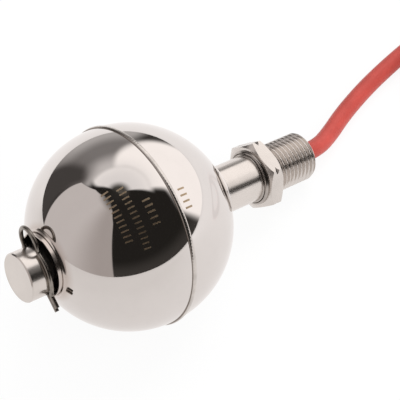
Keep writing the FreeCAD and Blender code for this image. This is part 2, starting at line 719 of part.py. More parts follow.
def cable_pieces(model):
    jacket = model.ring("cable_inner_end", STUB_X, EXIT_X, "Sizes.jacket_bore / 2",
                        "Sizes.cable_diameter / 2")
    model.keep(jacket, "cable_inner_end")
    half = "Sizes.core_spacing / 2"
    wire_x = f"({BOARD_END} - 3 * Sizes.wire_solder)"
    strip = f"({BOARD_END} + Sizes.strip_length / 2)"
    for name, y in (("lower", f"-{half}"), ("upper", half)):
        strand = model.rod(f"core_strand_{name}", wire_x, f"{EXIT_X} - {wire_x}",
                           "Sizes.strand_diameter", y=y)
        model.keep(strand, f"core_strand_{name}", strand.Placement)
        model.keep(core_insulation(model, name, strip), f"core_wire_{name}",
                   FreeCAD.Placement(FreeCAD.Vector(0, model.value(y), 0), FreeCAD.Rotation()))
    free_cable(model)


def core_insulation(model, name, strip):
    bore = "(Sizes.strand_diameter / 2 + Sizes.solder_fit)"
    return model.ring(f"core_wire_{name}", strip, EXIT_X, bore, "Sizes.core_diameter / 2")


def coil_centre(model):
    """Middle of the coil, on the right of the cable's heading where it enters."""
    heading = math.radians(COIL_HEADING)
    outer = model.value("Sizes.coil_radius + Sizes.cable_diameter")
    return FreeCAD.Vector(COIL_ENTRY[0] + model.ball_x + outer * math.sin(heading),
                          COIL_ENTRY[1] - outer * math.cos(heading), 0)


def coil_end(model):
    """Direction, seen from the coil's middle, in which the jacket ends on the top layer.  The
    cable goes round clockwise from where it enters."""
    return 90 + COIL_HEADING - model.size("coil_end_angle")


def free_cable(model):
    """The cable's jacket from the fitting to its coil, the coil and the stripped end."""
    radius = model.size("cable_diameter") / 2
    base = radius + model.size("floor_gap")
    heading = math.radians(COIL_HEADING)
    entry = FreeCAD.Vector(COIL_ENTRY[0] + model.ball_x, COIL_ENTRY[1], base)
    along = FreeCAD.Vector(math.cos(heading), math.sin(heading), 0)
    stub_start = entry - along * model.size("coil_lead_in")
    exit_x = model.value(EXIT_X)
    first_x = exit_x + model.size("exit_run")
    route = [model.lying.multVec(FreeCAD.Vector(x, 0, 0)) for x in (exit_x, first_x)]
    route += [FreeCAD.Vector(x + model.ball_x, y, base + rise) for x, y, rise in CABLE_ROUTE]
    route += [stub_start - along * model.size("last_run"), stub_start]
    tube = round_tube(route, radius, "cable_jacket")
    shape_piece(model, "cable_jacket", tube)
    stub = Part.makeCylinder(radius - model.size("floor_gap"), model.size("coil_lead_in"), stub_start, along)
    shape_piece(model, "cable_coil", coil_solid(model, stub))
    stripped_end(model)


def shape_piece(model, label, shape):
    piece = model.doc.addObject("Part::Feature", label)
    piece.Shape = shape
    model.keep(piece, label, on_floor=True)


def round_tube(route, radius, name):
    """Round tube along straight runs joined by tangent arcs, as large as the runs allow."""
    edges, radii = [], []
    here = route[0]
    for before, corner, after in zip(route, route[1:], route[2:]):
        back, ahead = before - corner, after - corner
        half_turn = (math.pi - back.getAngle(ahead)) / 2
        cut = ARC_SHARE * min(back.Length, ahead.Length)
        back.normalize()
        ahead.normalize()
        first, last = corner + back * cut, corner + ahead * cut
        bend = cut / math.tan(half_turn)
        inward = (back + ahead).normalize()
        middle = corner + inward * (bend / math.cos(half_turn) - bend)
        edges.append(Part.LineSegment(here, first).toShape())
        edges.append(Part.Arc(first, middle, last).toShape())
        radii.append(round(bend, 1))
        here = last
    edges.append(Part.LineSegment(here, route[-1]).toShape())
    path = Part.Wire(edges)
    heading = (route[1] - route[0]).normalize()
    section = Part.Wire([Part.Circle(route[0], heading, radius).toShape()])
    tube = path.makePipeShell([section], True, False)
    expected = math.pi * radius ** 2 * path.Length
    print(f"{name}: length {path.Length:.1f}, bend radii {radii}, volume ratio {tube.Volume / expected:.4f}")
    return tube


def coil_solid(model, stub):
    """Outer shape of the coil: three flat turns, one full turn on them and most of another."""
    centre = coil_centre(model)
    cable = model.size("cable_diameter")
    middle = model.size("coil_radius")
    gap = model.size("floor_gap")
    nest = model.size("coil_nest")
    lower = ring_solid(middle, 3 * cable, gap, cable + gap, model.size("coil_round"), 360)
    inner = ring_solid(middle - cable / 2, cable, nest, nest + cable, model.size("coil_round"), 360)
    outer = ring_solid(middle + cable / 2, cable, nest, nest + cable, model.size("coil_round"),
                       model.size("coil_top_angle"))
    outer.rotate(FreeCAD.Vector(), Z_AXIS, coil_end(model))
    solid = lower.fuse([inner, outer])
    solid.translate(centre)
    return solid.fuse(stub).removeSplitter().Solids[0]


def ring_solid(radius, width, bottom, top, corner, sweep):
    """Ring about Z with a rounded rectangular section, turned through an angle."""
    left, right = radius - width / 2, radius + width / 2
    points = [(left, bottom), (right, bottom), (right, top), (left, top)]
    corners = [FreeCAD.Vector(x, 0, z) for x, z in points]
    edges = []
    for i, spot in enumerate(corners):
        before = (corners[i - 1] - spot).normalize()
        after = (corners[(i + 1) % 4] - spot).normalize()
        start, stop = spot + before * corner, spot + after * corner
        middle = spot + (before + after) * (corner * (1 - math.sqrt(0.5)))
        edges.append(Part.Arc(start, middle, stop).toShape())
        following = corners[(i + 1) % 4]
        edges.append(Part.LineSegment(stop, following - after * corner).toShape())
    face = Part.Face(Part.Wire(edges))
    return face.revolve(FreeCAD.Vector(), Z_AXIS, sweep)


def stripped_end(model):
    """The two cores past the end of the jacket, lying in the coil's groove, with tinned tips."""
    centre = coil_centre(model)
    cable = model.size("cable_diameter")
    core = model.size("core_diameter") / 2
    strand = model.size("strand_diameter") / 2
    track = model.value("Sizes.coil_radius + Sizes.cable_diameter / 2")
    level = cable + 2 * model.size("floor_gap") + core
    start = math.radians(coil_end(model))
    for name, side in (("lower", -1), ("upper", 1)):
        radius = track + side * (core + model.size("floor_gap"))
        bend = start - model.size("end_core_length") / track
        tip = bend - model.size("end_tip_length") / track
        shape_piece(model, f"end_core_{name}", arc_tube(centre, radius, level, start, bend, core))
        shape_piece(model, f"end_tip_{name}", arc_tube(centre, radius, level, bend, tip, strand))


def arc_tube(centre, radius, level, start, stop, thickness):
    """Round tube along an arc about Z."""
    spots = []
    for angle in (start, (start + stop) / 2, stop):
        spots.append(centre + FreeCAD.Vector(radius * math.cos(angle), radius * math.sin(angle), level))
    path = Part.Wire([Part.Arc(*spots).toShape()])
    heading = FreeCAD.Vector(-math.sin(start), math.cos(start), 0)
    section = Part.Wire([Part.Circle(spots[0], heading, thickness).toShape()])
    return path.makePipeShell([section], True, False)


# ---- checks and files ------------------------------------------------------------------------


def write_parts(model):
    model.doc.recompute()
    for thing in model.doc.Objects:
        if "Invalid" in thing.State or "Error" in thing.State:
            raise RuntimeError(f"{thing.Name} did not build: {thing.State}")
    for piece in model.pieces:
        if piece.Shape.isNull() or not piece.Shape.isValid() or not piece.Shape.Solids:
            raise RuntimeError(f"{piece.Label} is not a valid solid")
    os.makedirs("parts", exist_ok=True)
    for piece in model.pieces:
        piece.Shape.exportStep(f"parts/{piece.Label}.step")
    print(f"{len(model.pieces)} pieces, tilt {math.degrees(model.tilt):.3f} degrees, "
          f"float centre x {model.ball_x:.4f}, face {model.value(FACE_X):.3f}, "
          f"hexagon {model.value(HEX_X):.3f}, thread end {model.value(THREAD_END):.3f}")


def main():
    model = Model()
    float_pieces(model)
    stem_pieces(model)
    fitting_pieces(model)
    reed_pieces(model)
    cable_pieces(model)
    write_parts(model)


main()
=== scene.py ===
import json
import math

import bpy
from mathutils import Matrix, Vector


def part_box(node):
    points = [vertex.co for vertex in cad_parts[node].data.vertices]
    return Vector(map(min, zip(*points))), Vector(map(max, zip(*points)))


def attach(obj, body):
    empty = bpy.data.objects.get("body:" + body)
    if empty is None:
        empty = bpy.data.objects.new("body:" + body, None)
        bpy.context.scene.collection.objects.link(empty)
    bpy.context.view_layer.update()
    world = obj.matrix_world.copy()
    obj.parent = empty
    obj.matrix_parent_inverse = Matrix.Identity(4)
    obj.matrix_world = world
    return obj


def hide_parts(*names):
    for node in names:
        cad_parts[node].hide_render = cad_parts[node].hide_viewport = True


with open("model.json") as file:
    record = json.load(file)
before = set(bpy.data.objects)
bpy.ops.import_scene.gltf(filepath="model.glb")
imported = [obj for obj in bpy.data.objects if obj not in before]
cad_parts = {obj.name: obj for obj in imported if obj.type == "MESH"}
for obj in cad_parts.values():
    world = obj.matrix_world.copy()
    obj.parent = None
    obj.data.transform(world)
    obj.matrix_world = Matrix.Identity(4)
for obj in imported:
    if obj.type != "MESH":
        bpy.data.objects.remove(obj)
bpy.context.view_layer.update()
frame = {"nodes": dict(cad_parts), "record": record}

bl_info = {
    "name": "Float level switch",
    "version": (1, 0, 0),
    "blender": (4, 5, 0),
    "location": "3D View > Sidebar > Level switch",
    "description": "Finishes the polished float, the threaded fitting and the red cable of a level switch",
    "category": "Object",
}

MM = 0.001
SLIP_GAP = 0.05 * MM            # round a piece that another slips over
HAIR = 0.01 * MM                # tells the points of a face from those beside it
MERGE_DISTANCE = 0.001 * MM     # points closer than this are one

# ---- places and sizes that come from the frame -------------------------------------------------

THREAD = next(m for m in frame["record"]["mounts"] if m["name"] == "thread")
AXIS = Vector(THREAD["axis"]).normalized()      # along the stem, from the clip to the thread
SIDE = Vector((0, 1, 0))
TOP = AXIS.cross(SIDE)                          # the stem's upper side
BALL = (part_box("float_seam_bead")[0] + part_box("float_seam_bead")[1]) / 2
STEM = Vector(THREAD["pos_m"]) + AXIS * (BALL - Vector(THREAD["pos_m"])).dot(AXIS)
BALL_RADIUS = BALL.z
THREAD_RADIUS = THREAD["dims"]["r_mm"] * MM


def reach(node, origin=STEM):
    """Start, end and outer radius of a node along the stem."""
    points = [v.co - origin for v in frame["nodes"][node].data.vertices]
    along = [p.dot(AXIS) for p in points]
    out = max((p - AXIS * p.dot(AXIS)).length for p in points)
    return min(along), max(along), out


def stem_place(origin):
    """Matrix that takes a piece drawn about the X axis to its place about the stem."""
    place = Matrix((AXIS, SIDE, TOP)).transposed().to_4x4()
    place.translation = origin
    return place


# ---- sizes and colours that a user would change ------------------------------------------------


class FloatSettings(bpy.types.PropertyGroup):
    wall: bpy.props.FloatProperty(
        name="Wall", description="Thickness of the pressed shells", default=0.5 * MM, unit="LENGTH")
    clip_fillet: bpy.props.FloatProperty(
        name="Clip side fillet", description="Radius where the shell by the clip is drawn out to its lip",
        default=1.0 * MM, unit="LENGTH")
    thread_fillet: bpy.props.FloatProperty(
        name="Thread side fillet", description="Radius where the other shell is drawn out to its lip",
        default=1.7 * MM, unit="LENGTH")
    bead_ripples: bpy.props.IntProperty(
        name="Weld ripples", description="Ripples in one turn of the seam's weld", default=210)
    ripple_height: bpy.props.FloatProperty(
        name="Ripple height", description="Height of the weld's ripples", default=0.02 * MM, unit="LENGTH")
    steel: bpy.props.FloatVectorProperty(
        name="Polished steel", description="Colour of the polished shells", subtype="COLOR",
        default=(0.690, 0.655, 0.635))


class FittingSettings(bpy.types.PropertyGroup):
    hexagon: bpy.props.FloatProperty(
        name="Hexagon", description="Thickness of the hexagon", default=4.3 * MM, unit="LENGTH")
    relief: bpy.props.FloatProperty(
        name="Relief", description="Radius of the groove behind the thread",
        default=5.65 * MM, unit="LENGTH")
    relief_width: bpy.props.FloatProperty(
        name="Relief width", description="Width of the groove behind the thread",
        default=0.9 * MM, unit="LENGTH")
    pitch: bpy.props.FloatProperty(
        name="Pitch", description="Pitch of the pipe thread", default=1.337 * MM, unit="LENGTH")
    thread_depth: bpy.props.FloatProperty(
        name="Thread depth", description="Depth of the pipe thread", default=0.856 * MM, unit="LENGTH")
    chamfer: bpy.props.FloatProperty(
        name="End chamfer", description="Chamfer at the thread's end", default=0.6 * MM, unit="LENGTH")
    nick: bpy.props.FloatProperty(
        name="Nick", description="Depth of the marking nick across the hexagon's corners",
        default=0.58 * MM, unit="LENGTH")
    bore: bpy.props.FloatProperty(
        name="Bore", description="Radius of the bore that the cable leaves through",
        default=4.25 * MM, unit="LENGTH")
    steel: bpy.props.FloatVectorProperty(
        name="Satin steel", description="Colour of the stem and the fitting", subtype="COLOR",
        default=(0.700, 0.655, 0.620))


class CableSettings(bpy.types.PropertyGroup):
    radius: bpy.props.FloatProperty(
        name="Radius", description="Half of the cable's diameter", default=2.5 * MM, unit="LENGTH")
    floor_gap: bpy.props.FloatProperty(
        name="Floor gap", description="Gap between the cable and the floor",
        default=0.02 * MM, unit="LENGTH")
    coil_radius: bpy.props.FloatProperty(
        name="Coil radius", description="Radius of the middle turn of the coil's lowest layer",
        default=30.0 * MM, unit="LENGTH")
    jacket: bpy.props.FloatVectorProperty(
        name="Jacket", description="Colour of the silicone jacket", subtype="COLOR",
        default=(0.610, 0.080, 0.062))


class StudioSettings(bpy.types.PropertyGroup):
    aim: bpy.props.FloatVectorProperty(
        name="Aim", description="Point that the camera looks at", subtype="TRANSLATION",
        default=(0.00596, -0.00707, 0.02731))
    distance: bpy.props.FloatProperty(
        name="Distance", description="Camera's distance from that point", default=0.3526, unit="LENGTH")
    azimuth: bpy.props.FloatProperty(
        name="Azimuth", description="Direction of the camera, seen from above",
        default=math.radians(-117.38), subtype="ANGLE")
    elevation: bpy.props.FloatProperty(
        name="Elevation", description="Height of the camera as an angle",
        default=math.radians(51.89), subtype="ANGLE")
    roll: bpy.props.FloatProperty(
        name="Roll", description="How far the camera leans to its right", default=math.radians(14.1),
        subtype="ANGLE")
    lens: bpy.props.FloatProperty(
        name="Lens", description="Focal length on a 36 mm sensor, in millimetres", default=127.63)


# ---- shader sheets -----------------------------------------------------------------------------


class Value:
    """A socket of a shader sheet that takes part in plain arithmetic."""

    def __init__(self, sheet, socket):
        self.sheet = sheet
        self.socket = socket

    def math(self, operation, *others):
        inputs = dict(enumerate((self,) + others))
        return self.sheet.node("ShaderNodeMath", {"operation": operation}, inputs)

    def __add__(self, other):
        return self.math("ADD", other)

    def __sub__(self, other):
        return self.math("SUBTRACT", other)

    def __mul__(self, other):
        return self.math("MULTIPLY", other)

    def __truediv__(self, other):
        return self.math("DIVIDE", other)

    def __rsub__(self, other):
        return self.math("MULTIPLY", -1.0).math("ADD", other)

    __radd__ = __add__
    __rmul__ = __mul__

    def __abs__(self):
        return self.math("ABSOLUTE")

    def rise(self, low, high, first=0.0, last=1.0):
        """Goes smoothly from first to last as this value goes from low to high."""
        if low > high:
            low, high, first, last = high, low, last, first
        return self.sheet.node("ShaderNodeMapRange", {"interpolation_type": "SMOOTHSTEP"},
                               {0: self, 1: low, 2: high, 3: first, 4: last})

    def within(self, low, high, edge):
        """1 between low and high, with soft edges, and 0 outside."""
        return self.rise(low - edge, low + edge) * self.rise(high - edge, high + edge, 1.0, 0.0)


class Sheet:
    """Node tree of one material or of the world."""

    def __init__(self, owner):
        owner.use_nodes = True
        self.tree = owner.node_tree
        self.tree.nodes.clear()

    def node(self, kind, settings=None, inputs=None, output=0):
        made = self.tree.nodes.new(kind)
        for name, value in (settings or {}).items():
            setattr(made, name, value)
        for key, value in (inputs or {}).items():
            socket = made.inputs[key]
            if isinstance(value, Value):
                self.tree.links.new(value.socket, socket)
            else:
                socket.default_value = value
        return Value(self, made.outputs[output]) if made.outputs else None

    def mix(self, share, first, second):
        """Colour between first and second."""
        return self.node("ShaderNodeMix", {"data_type": "RGBA"}, {0: share, 6: first, 7: second}, output=2)

    def noise(self, vector, scale, detail=3.0, roughness=0.55):
        return self.node("ShaderNodeTexNoise", None,
                         {"Vector": vector, "Scale": scale, "Detail": detail, "Roughness": roughness})

    def tool_lines(self, along, out, scale, detail, roughness=0.5):
        """Fine lines that a cutting tool leaves round the stem."""
        return self.node("ShaderNodeTexNoise", {"noise_dimensions": "2D"},
                         {"Vector": self.node("ShaderNodeCombineXYZ", None, {0: along, 1: out}),
                          "Scale": scale, "Detail": detail, "Roughness": roughness})

    def object_place(self):
        return self.node("ShaderNodeTexCoord", output="Object")

    def ray(self, kind):
        """1 for rays of this kind, such as Camera, and 0 for all others."""
        return self.node("ShaderNodeLightPath", output=f"Is {kind} Ray")

    def distance_along(self, place, way):
        return self.node("ShaderNodeVectorMath", {"operation": "DOT_PRODUCT"}, {0: place, 1: way},
                         output="Value")

    def about_stem(self, origin):
        """Distance along the stem, angle about it from its upper side, and distance from it."""
        away = self.node("ShaderNodeVectorMath", {"operation": "SUBTRACT"},
                         {0: self.object_place(), 1: origin})
        along, side, top = (self.distance_along(away, way) for way in (AXIS, SIDE, TOP))
        return along, side.math("ARCTAN2", top), (side * side + top * top).math("SQRT")

    def bump(self, height, distance, strength=1.0):
        return self.node("ShaderNodeBump", None,
                         {"Height": height, "Distance": distance, "Strength": strength})

    def surface(self, **inputs):
        """Principled surface as the sheet's result; names are the sockets' with underscores."""
        named = {key.replace("_", " "): value for key, value in inputs.items()}
        shader = self.node("ShaderNodeBsdfPrincipled", None, named)
        self.node("ShaderNodeOutputMaterial", None, {"Surface": shader})


def colour(rgb, share=1.0):
    """Opaque colour, brought down to this share of its brightness."""
    return (*(c * share for c in rgb[:3]), 1.0)


def new_sheet(name):
    material = bpy.data.materials.new(f"{name}_finish")
    return material, Sheet(material)


# ---- finishes ----------------------------------------------------------------------------------

ETCHED = (0.46, 0.34, 0.21)
DRAWN_TINT = (0.42, 0.32, 0.26)
# Painted shade: colour of the groove's shade along the weld bead's edges.
WELD_GROOVE_SHADE = (0.12, 0.09, 0.07)

# Rows of ticks: middle along the stem from the seam, height, first and last angle, and number.
TICK_ROWS = (
    (-6.7 * MM, 2.0 * MM, math.radians(-29), math.radians(-46), 5),
    (-10.4 * MM, 1.7 * MM, math.radians(-17), math.radians(-57), 13),
    (-13.6 * MM, 1.7 * MM, math.radians(-14), math.radians(-50), 11),
    (2.6 * MM, 2.0 * MM, math.radians(-31), math.radians(-45), 4),
)


def polished_steel(steel):
    """Mirror polish with faint waves, duller drawn lips, a brown tint by the clip, and plain ticks."""
    material, sheet = new_sheet("polished_steel")
    place = sheet.object_place()
    along, angle, _ = sheet.about_stem(BALL)
    haze = sheet.noise(place, 220.0, 4.0)
    ticks = None
    for centre, height, first, last, count in TICK_ROWS:
        share = (angle - first) / (last - first) * count
        gap = abs(share.math("FRACT") - 0.5)
        row = (along.within(centre - height / 2, centre + height / 2, 0.06 * MM)
               * gap.rise(0.12, 0.18, 1.0, 0.0) * angle.within(min(first, last), max(first, last), 0.002))
        ticks = row if ticks is None else ticks + row
    tone = sheet.mix(haze.rise(0.35, 0.7) * 0.12, colour(steel), colour(steel, 0.86))
    base = sheet.mix(ticks * 0.9, tone, colour(ETCHED))
    drawn = abs(along).rise(BALL_RADIUS * 0.925, BALL_RADIUS * 0.955)
    tint = along.rise(BALL_RADIUS * -0.91, BALL_RADIUS * -0.95) * 0.45
    base = sheet.mix(tint, base, colour(DRAWN_TINT))
    rough = 0.035 + haze.rise(0.4, 0.8) * 0.02 + ticks * 0.42 + drawn * 0.16
    waves = sheet.noise(place, 75.0, 1.0)
    sheet.surface(Base_Color=base, Metallic=1.0, Roughness=rough, Normal=sheet.bump(waves, 0.05 * MM))
    return material


def weld_steel(steel):
    """Weld metal, with painted groove shade that is dark past the seam's clip side, and half as dark past
    its thread side.
    """
    material, sheet = new_sheet("weld_steel")
    place = sheet.object_place()
    along, _, _ = sheet.about_stem(BALL)
    # painted shade of the groove along the bead's edges, half as dark on the thread side
    foot = along.rise(-0.47 * MM, -0.57 * MM) + along.rise(0.55 * MM, 0.63 * MM) * 0.5
    tint = sheet.noise(place, 420.0, 3.0)
    base = sheet.mix(tint.rise(0.35, 0.7), colour(steel), colour(steel, 0.82))
    grain = sheet.noise(place, 2600.0, 2.0)
    sheet.surface(Base_Color=sheet.mix(foot * 0.8, base, colour(WELD_GROOVE_SHADE)), Metallic=1.0,
                  Roughness=0.13 + tint * 0.08, Normal=sheet.bump(grain, 0.01 * MM, 0.4))
    return material


def satin_steel(steel):
    """Turned steel: tool lines round the stem, and a soft satin gloss."""
    material, sheet = new_sheet("satin_steel")
    along, _, out = sheet.about_stem(STEM)
    lines = sheet.tool_lines(along, out, 5200.0, 4.0, 0.7)
    cloud = sheet.noise(sheet.object_place(), 160.0, 4.0)
    base = sheet.mix(cloud.rise(0.35, 0.7) * 0.35, colour(steel), colour(steel, 0.88))
    rough = 0.17 + lines * 0.06 + cloud.rise(0.4, 0.75) * 0.03
    sheet.surface(Base_Color=base, Metallic=1.0, Roughness=rough,
                  Normal=sheet.bump(lines, 0.004 * MM, 0.35))
    return material


def plated_fitting(steel):
    """Milled and threaded steel with faint tool lines and a cloudy tone."""
    material, sheet = new_sheet("plated_fitting")
    place = sheet.object_place()
    along, _, out = sheet.about_stem(STEM)
    lines = sheet.tool_lines(along, out, 3800.0, 3.0)
    cloud = sheet.noise(place, 240.0, 4.0)
    base = sheet.mix(cloud.rise(0.3, 0.75) * 0.5, colour(steel), colour(steel, 0.84))
    grain = sheet.noise(place, 3000.0, 2.0)
    sheet.surface(Base_Color=base, Metallic=1.0, Roughness=0.19 + cloud * 0.06,
                  Normal=sheet.bump(lines + grain * 0.5, 0.004 * MM, 0.2))
    return material


def metal(name, light, dark, roughness, scale=500.0):
    """Small metal piece whose tone and gloss vary a little."""
    material, sheet = new_sheet(name)
    place = sheet.object_place()
    cloud = sheet.noise(place, scale, 4.0)
    grain = sheet.noise(place, scale * 6, 2.0)
    sheet.surface(Base_Color=sheet.mix(cloud.rise(0.3, 0.7), colour(light), colour(dark)), Metallic=1.0,
                  Roughness=roughness + cloud * 0.12, Normal=sheet.bump(grain, 0.01 * MM, 0.4))
    return material


def moulded(name, light, dark, roughness, scale=300.0, grain_height=0.02, **more):
    """Plastic, ceramic or rubber piece with a fine mottle."""
    material, sheet = new_sheet(name)
    place = sheet.object_place()
    cloud = sheet.noise(place, scale, 4.0)
    grain = sheet.noise(place, scale * 9, 2.0)
    sheet.surface(Base_Color=sheet.mix(cloud.rise(0.3, 0.7), colour(light), colour(dark)),
                  Roughness=roughness + cloud * 0.1,
                  Normal=sheet.bump(grain, grain_height * MM, 0.5), **more)
    return material


def capsule_glass():
    material, sheet = new_sheet("reed_glass")
    cloud = sheet.noise(sheet.object_place(), 300.0)
    sheet.surface(Base_Color=sheet.mix(cloud, (0.72, 0.90, 0.84, 1.0), (0.82, 0.94, 0.90, 1.0)),
                  Roughness=0.04 + cloud * 0.03, Alpha=0.35)
    return material


def make_finishes():
    """Every material by name."""
    scene = bpy.context.scene
    jacket = list(scene.switch_cable.jacket)
    steel = list(scene.switch_fitting.steel)
    made = [
        polished_steel(list(scene.switch_float.steel)),
        weld_steel(colour(steel, 0.92)),
        satin_steel(steel),
        plated_fitting(colour(steel, 0.95)),
        metal("spring_wire", (0.34, 0.31, 0.28), (0.20, 0.18, 0.16), 0.20),
        metal("reed_metal", (0.72, 0.70, 0.64), (0.60, 0.58, 0.53), 0.22),
        metal("copper", (0.80, 0.42, 0.26), (0.62, 0.30, 0.17), 0.25),
        metal("solder", (0.72, 0.73, 0.75), (0.55, 0.56, 0.58), 0.24),
        metal("tinned_copper", (0.70, 0.69, 0.66), (0.55, 0.52, 0.47), 0.28),
        moulded("ferrite", (0.045, 0.045, 0.05), (0.09, 0.09, 0.095), 0.55, 700.0),
        moulded("board", (0.02, 0.16, 0.07), (0.03, 0.22, 0.10), 0.30, 400.0, Coat_Weight=0.4),
        moulded("liner", (0.80, 0.78, 0.72), (0.70, 0.68, 0.62), 0.45),
        moulded("resin", (0.015, 0.015, 0.017), (0.03, 0.03, 0.033), 0.18),
        moulded("brown_core", (0.13, 0.05, 0.02), (0.19, 0.08, 0.035), 0.42),
        moulded("blue_core", (0.02, 0.07, 0.33), (0.03, 0.10, 0.42), 0.42),
        moulded("red_jacket", jacket, colour(jacket, 0.86), 0.42, 180.0, 0.012,
                Sheen_Weight=0.15, Specular_IOR_Level=0.35),
        capsule_glass(),
    ]
    return {m.name.removesuffix("_finish"): m for m in made}


# ---- hand tools --------------------------------------------------------------------------------


def deselect():
    if bpy.context.object and bpy.context.object.mode != "OBJECT":
        bpy.ops.object.mode_set(mode="OBJECT")
    bpy.ops.object.select_all(action="DESELECT")


def turned(name, outline, steps):
    """Piece turned about the X axis from (x, radius) points; the last may repeat the first."""
    deselect()
    bpy.ops.mesh.primitive_plane_add(size=MM, enter_editmode=True)
    piece = bpy.context.object
    piece.name = piece.data.name = name
    bpy.ops.mesh.merge(type="CENTER")
    bpy.ops.transform.translate(value=(outline[0][0], 0, outline[0][1]))
    for (x0, r0), (x1, r1) in zip(outline, outline[1:]):
        bpy.ops.mesh.extrude_region_move(TRANSFORM_OT_translate={"value": (x1 - x0, 0, r1 - r0)})
    bpy.ops.mesh.select_all(action="SELECT")
    bpy.ops.mesh.spin(steps=steps, angle=2 * math.pi, center=(0, 0, 0), axis=(1, 0, 0))
    bpy.ops.mesh.select_all(action="SELECT")
    bpy.ops.mesh.remove_doubles(threshold=MERGE_DISTANCE)
    bpy.ops.mesh.normals_make_consistent(inside=False)
    bpy.ops.object.mode_set(mode="OBJECT")
    return piece


def arc(x, radius, size, start, stop, count):
    """Points on an arc about (x, radius); angles in degrees from the X axis."""
    angles = [math.radians(start + (stop - start) * i / count) for i in range(count + 1)]
    return [(x + size * math.cos(a), radius + size * math.sin(a)) for a in angles]


def finish_piece(piece, place, angle=30.0):
    """Puts a piece drawn about the X axis in its place, with its object at the origin."""
    deselect()
    piece.select_set(True)
    bpy.context.view_layer.objects.active = piece
    piece.matrix_world = place
    bpy.ops.object.transform_apply(location=True, rotation=True, scale=True)
    bpy.ops.object.shade_smooth_by_angle(angle=math.radians(angle))


def fit_piece(piece, body, slot, material, *nodes):
    """Rides a piece on its body and lets it stand for its nodes."""
    piece.data.materials.clear()
    piece.data.materials.append(bpy.data.materials[f"{material}_finish"])
    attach(piece, body)
    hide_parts(*nodes)


# ---- operators ---------------------------------------------------------------------------------


class SWITCH_OT_studio(bpy.types.Operator):
    """Camera, table, lamps and the studio that the steel mirrors"""
    bl_idname = "switch.studio"
    bl_label = "Studio"

    def execute(self, context):
        settings = context.scene.switch_studio
        context.scene.view_settings.view_transform = "Standard"
        add_camera(context.scene, settings)
        add_table()
        add_lamps(Vector(settings.aim))
        mirrored_studio(context.scene)
        return {"FINISHED"}


SENSOR_WIDTH = 36.0             # millimetres
CLIP_START = 0.01
TABLE_SIZE = 6.0
TABLE_GLOW = 0.86               # share of the table's white that needs no light
TABLE_MATT = (0.90, 0.90, 0.90)
TABLE_SEEN = (1.04, 1.04, 1.04)
# Painted light and shade: the table as the steel mirrors it, darker on the camera's side and brighter
# towards the bright lamp.
TABLE_NEAR_SHADED = (0.90, 0.865, 0.845)
TABLE_FAR_LIT = (1.12, 1.09, 1.08)
ACROSS_TABLE = (0.87, 0.50, 0.0)

# Lamps: name, azimuth and height in degrees, width of the box, and power in watts.
LAMP_DISTANCE = 0.9
LAMPS = (("bright_box", 15, 50, 0.7, 2.9), ("front_box", -72, 28, 0.6, 2.9))


def add_camera(scene, settings):
    deselect()
    level = math.cos(settings.elevation)
    back = Vector((level * math.cos(settings.azimuth), level * math.sin(settings.azimuth),
                   math.sin(settings.elevation)))
    right = Vector((0, 0, 1)).cross(back).normalized()
    turn = Matrix.Rotation(-settings.roll, 3, back)
    right = turn @ right
    up = back.cross(right)
    place = Matrix((right, up, back)).transposed().to_4x4()
    place.translation = Vector(settings.aim) + back * settings.distance
    bpy.ops.object.camera_add()
    camera = bpy.context.object
    camera.name = "studio_camera"
    camera.matrix_world = place
    camera.data.lens = settings.lens
    camera.data.sensor_width = SENSOR_WIDTH
    camera.data.clip_start = CLIP_START
    scene.camera = camera


def add_table():
    """White table top that shows as white to the camera, with painted light and shade across it in the
    steel, and keeps shadows.
    """
    deselect()
    bpy.ops.mesh.primitive_plane_add(size=TABLE_SIZE)
    table = bpy.context.object
    table.name = "table_top"
    material, sheet = new_sheet("table_white")
    mirrored = sheet.ray("Glossy")
    shown = sheet.ray("Camera").math("MAXIMUM", mirrored).math("MAXIMUM", sheet.ray("Transmission"))
    matt = sheet.node("ShaderNodeBsdfDiffuse", None, {"Color": colour(TABLE_MATT)})
    across = sheet.distance_along(sheet.object_place(), ACROSS_TABLE)
    # painted light: the mirrored table darkens towards the camera and brightens away from it
    painted_light = sheet.mix(across.rise(-0.14, 0.10), colour(TABLE_NEAR_SHADED), colour(TABLE_FAR_LIT))
    tone = sheet.mix(mirrored, colour(TABLE_SEEN), painted_light)
    white = sheet.node("ShaderNodeEmission", None, {"Color": tone})
    top = sheet.node("ShaderNodeMixShader", None, {0: shown * TABLE_GLOW, 1: matt, 2: white})
    sheet.node("ShaderNodeOutputMaterial", None, {"Surface": top})
    table.data.materials.append(material)


def add_lamps(aim):
    """Two soft boxes; the steel mirrors the studio instead of them."""
    for name, azimuth, elevation, size, power in LAMPS:
        deselect()
        a, e = math.radians(azimuth), math.radians(elevation)
        away = Vector((math.cos(e) * math.cos(a), math.cos(e) * math.sin(a), math.sin(e)))
        bpy.ops.object.light_add(type="AREA", location=aim + away * LAMP_DISTANCE,
                                 rotation=away.to_track_quat("Z", "Y").to_euler())
        lamp = bpy.context.object
        lamp.name = name
        lamp.data.size = size
        lamp.data.energy = power
        lamp.visible_glossy = False


# Corners of what stands round the table, anticlockwise, as azimuth and height in degrees.
GREY_WALL = ((46, -12), (116, -12), (116, 58), (46, 58))
DARK_STAND = ((98, -12), (132, -12), (132, 4), (108, 49), (92, 42), (92, 12))
BRIGHT_BOX = ((-20, -12), (24, -12), (34, 4), (51, 22), (59, 34), (60, 60), (-25, 60), (-23, 30))
BRIGHT_WING = ((-34, -12), (-12, -12), (-12, 47), (-38, 30), (-44, 20), (-39, 4))
BRIGHT_TOP = ((-29, 56), (106, 58), (114, 66), (104, 79), (-22, 79))
LEFT_BOX = ((139, -12), (218.5, -12), (218.5, 57), (212, 70), (195, 77), (180, 79), (146, 76),
            (123, 66), (111, 47))

